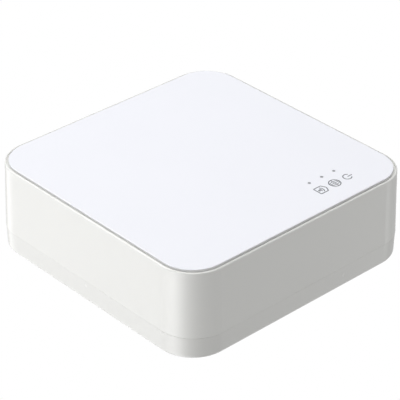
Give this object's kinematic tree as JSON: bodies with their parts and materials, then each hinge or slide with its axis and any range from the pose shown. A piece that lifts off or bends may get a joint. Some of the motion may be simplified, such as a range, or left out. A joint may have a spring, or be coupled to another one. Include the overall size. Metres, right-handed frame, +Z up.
{
  "type": "smart home hub",
  "caption": "Low square white smart home hub with rounded corners, inset satin top plate, light points, rear network and power sockets and a recessed reset button.",
  "frame": {"origin": "centre of the rubber feet's contact plane, under the middle of the case", "axes": "+Z up, -Y towards the front, +Y towards the sockets at the back, +X to the right seen from the front"},
  "size_m": [0.12, 0.12, 0.0395],
  "materials": {
    "cover_white": "glossy moulded ABS, warm white",
    "tray_white": "glossy moulded ABS, warm white",
    "plate_white": "satin acrylic sheet, cool white",
    "tape_white": "thin white foam adhesive",
    "feet_grey": "soft moulded rubber",
    "screw_steel": "bright zinc plated",
    "label_silver": "blank matt label film",
    "guide_clear": "clear moulded light guide",
    "baffle_black": "black moulded rubber",
    "led_white": "small lamp with clear lens",
    "board_green": "green solder mask on glass laminate",
    "chip_black": "black moulded chip",
    "chip_metal_lid": "metal chip lid",
    "pad_blue": "soft silicone pad",
    "sink_aluminium": "clear anodised extrusion",
    "nylon_white": "natural nylon",
    "ferrite_grey": "pressed ferrite",
    "can_aluminium": "drawn aluminium can",
    "crystal_can": "drawn plated can",
    "resistor_black": "coated ceramic chip",
    "capacitor_tan": "ceramic chip",
    "shield_tin": "tin plated steel sheet",
    "antenna_board": "blue solder mask on glass laminate",
    "gold_plate": "gold plated springs and plugs",
    "lead_black": "thin coaxial lead sheath",
    "socket_black": "black moulded socket",
    "status_clear": "clear light window",
    "button_grey": "grey moulded button"
  },
  "bodies": {
    "case": {"top_plate": "plate_white", "plate_tape": "tape_white", "upper_cover": "cover_white", "base_tray": "tray_white", "rubber_feet": "feet_grey", "case_screws": "screw_steel", "blank_label": "label_silver", "light_guide": "guide_clear", "light_baffle": "baffle_black", "indicator_leds": "led_white", "main_board": "board_green", "board_screws": "screw_steel", "processor": "chip_metal_lid", "thermal_pad": "pad_blue", "heat_sink": "sink_aluminium", "heat_sink_pins": "nylon_white", "memory_chip": "chip_black", "flash_chip": "chip_black", "network_transformer": "chip_black", "power_regulators": "chip_black", "power_inductors": "ferrite_grey", "filter_capacitors": "can_aluminium", "clock_crystals": "crystal_can", "chip_resistors": "resistor_black", "chip_capacitors": "capacitor_tan", "wifi_shield_frame": "shield_tin", "wifi_shield_lid": "shield_tin", "wifi_chip": "chip_black", "mesh_radio_board": "board_green", "mesh_radio_shield": "shield_tin", "wifi_antenna": "antenna_board", "mesh_antenna": "antenna_board", "antenna_sockets": "gold_plate", "antenna_plugs": "gold_plate", "wifi_antenna_lead": "lead_black", "mesh_antenna_lead": "lead_black", "network_jacket": "shield_tin", "network_housing": "socket_black", "network_contacts": "gold_plate", "network_status_lights": "status_clear", "power_socket_body": "socket_black", "power_socket_pin": "gold_plate", "power_socket_spring": "gold_plate", "reset_switch_body": "socket_black"},
    "button": {"reset_button": "button_grey", "reset_switch_plunger": "button_grey"}
  },
  "joints": [
    {"name": "reset_press", "type": "slide", "parent": "case", "child": "button", "axis": [0, -1, 0], "range_m": [0, 0.0005], "stiffness_N_per_m": 1500}
  ]
}
